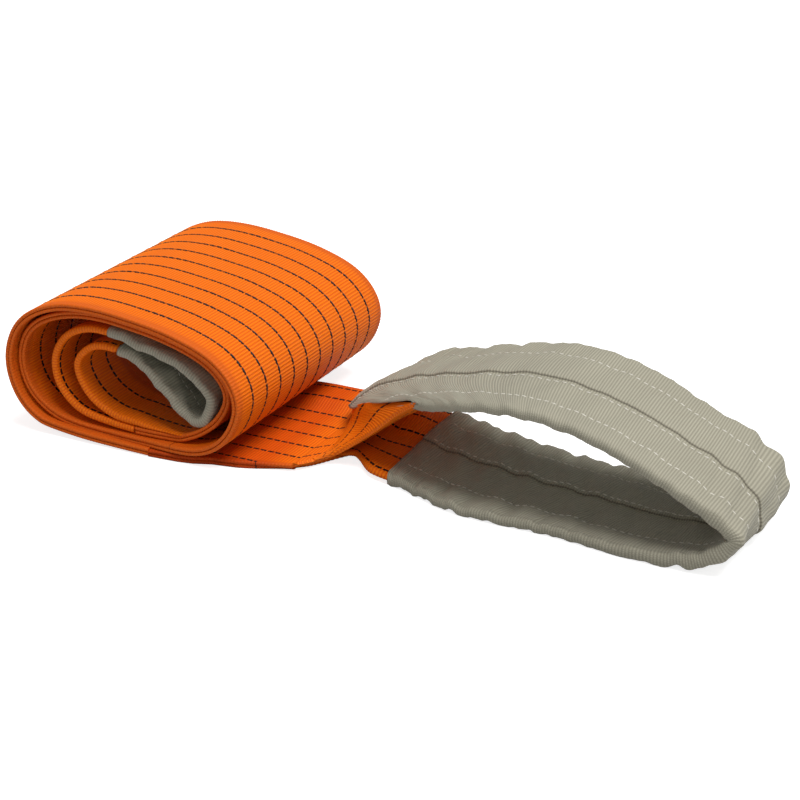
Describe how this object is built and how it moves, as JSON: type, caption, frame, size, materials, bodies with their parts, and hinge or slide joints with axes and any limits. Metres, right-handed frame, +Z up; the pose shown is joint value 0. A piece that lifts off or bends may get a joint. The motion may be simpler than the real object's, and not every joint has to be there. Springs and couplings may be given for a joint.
{
  "type": "flat webbing sling",
  "caption": "Flat two-ply webbing lifting sling with folded, sleeved eyes, rolled up with one eye in the roll and the other lying open.",
  "frame": {"origin": "middle of the box round the whole sling, on the surface that it lies on", "axes": "+X from the roll to the tip of the open eye, +Y across the webbing away from the near selvedge, +Z up"},
  "size_m": [0.7922, 0.3162, 0.1498],
  "materials": {
    "orange_webbing": "ribbed woven polyester webbing",
    "grey_sleeve": "ribbed woven tubular sleeve",
    "pale_thread": "twisted sewing thread",
    "orange_thread": "twisted sewing thread",
    "black_yarn": "woven-in marker yarn",
    "label_cloth": "coated label cloth, blank"
  },
  "bodies": {
    "roll": {"outer_turn_outer_ply": "orange_webbing", "outer_turn_inner_ply": "orange_webbing", "second_turn_outer_ply": "orange_webbing", "second_turn_inner_ply": "orange_webbing", "core_turn_outer_ply": "orange_webbing", "core_turn_inner_ply": "orange_webbing", "stored_eye_webbing": "orange_webbing", "stored_eye_near_flap": "orange_webbing", "stored_eye_far_flap": "orange_webbing", "stored_eye_sleeve": "grey_sleeve", "stored_eye_seams": "pale_thread", "marker_yarns": "black_yarn", "edge_seams": "orange_thread", "identification_label": "label_cloth", "label_stitching": "pale_thread"},
    "tail": {"tail_lower_ply": "orange_webbing", "tail_upper_ply": "orange_webbing", "tail_far_flap_lower": "orange_webbing", "tail_far_flap_upper": "orange_webbing", "tail_near_flap": "orange_webbing", "crotch_stitching": "orange_thread"},
    "open_eye": {"open_eye_webbing": "orange_webbing", "open_eye_near_flap": "orange_webbing", "open_eye_far_flap": "orange_webbing", "open_eye_sleeve": "grey_sleeve", "open_eye_near_seam": "pale_thread", "open_eye_centre_seam": "pale_thread", "open_eye_far_seam": "pale_thread"}
  },
  "joints": [
    {"name": "tail_lift", "type": "hinge", "parent": "roll", "child": "tail", "pos_m": [-0.1145, -0.03593, 0.0077], "axis": [0, -1, 0], "range_deg": [0, 20]},
    {"name": "eye_lift", "type": "hinge", "parent": "tail", "child": "open_eye", "pos_m": [-0.0685, -0.02993, 0.016], "axis": [0, -1, 0], "range_deg": [0, 50]}
  ]
}
